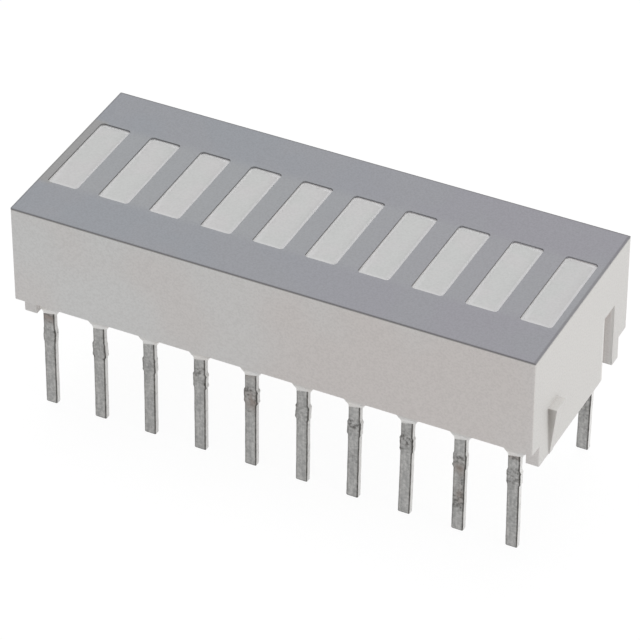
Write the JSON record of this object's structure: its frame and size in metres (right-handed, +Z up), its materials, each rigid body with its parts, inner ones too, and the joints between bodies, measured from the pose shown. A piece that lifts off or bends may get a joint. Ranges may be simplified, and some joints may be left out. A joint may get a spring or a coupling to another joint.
{
  "type": "led bar graph",
  "caption": "Low profile LED bar graph: a white block with a grey face, a row of long rounded light windows, flat through-hole leads in rows below, and a key and slot on each end.",
  "frame": {"origin": "middle of the lead pattern, in the plane where the feet stand on a circuit board", "axes": "+X along the row of windows, +Y from the front lead row to the rear lead row that carries the chips, +Z up out of the display face; the leads point to -Z"},
  "size_m": [0.026, 0.0102, 0.0113],
  "materials": {
    "white_housing": "moulded white engineering plastic, fine satin",
    "grey_coat": "thin grey coat, satin",
    "milky_epoxy": "diffused casting, cured smooth",
    "tinned_lead": "tin plated, slightly mottled",
    "chip": "sawn crystal",
    "gold_wire": "drawn gold"
  },
  "bodies": {
    "root": {"housing": "white_housing", "face_coat": "grey_coat", "epoxy_fill": "milky_epoxy", "lead_01": "tinned_lead", "lead_02": "tinned_lead", "lead_03": "tinned_lead", "lead_04": "tinned_lead", "lead_05": "tinned_lead", "lead_06": "tinned_lead", "lead_07": "tinned_lead", "lead_08": "tinned_lead", "lead_09": "tinned_lead", "lead_10": "tinned_lead", "lead_11": "tinned_lead", "lead_12": "tinned_lead", "lead_13": "tinned_lead", "lead_14": "tinned_lead", "lead_15": "tinned_lead", "lead_16": "tinned_lead", "lead_17": "tinned_lead", "lead_18": "tinned_lead", "lead_19": "tinned_lead", "lead_20": "tinned_lead", "chip_01": "chip", "chip_02": "chip", "chip_03": "chip", "chip_04": "chip", "chip_05": "chip", "chip_06": "chip", "chip_07": "chip", "chip_08": "chip", "chip_09": "chip", "chip_10": "chip", "bond_wire_01": "gold_wire", "bond_wire_02": "gold_wire", "bond_wire_03": "gold_wire", "bond_wire_04": "gold_wire", "bond_wire_05": "gold_wire", "bond_wire_06": "gold_wire", "bond_wire_07": "gold_wire", "bond_wire_08": "gold_wire", "bond_wire_09": "gold_wire", "bond_wire_10": "gold_wire"}
  },
  "joints": []
}
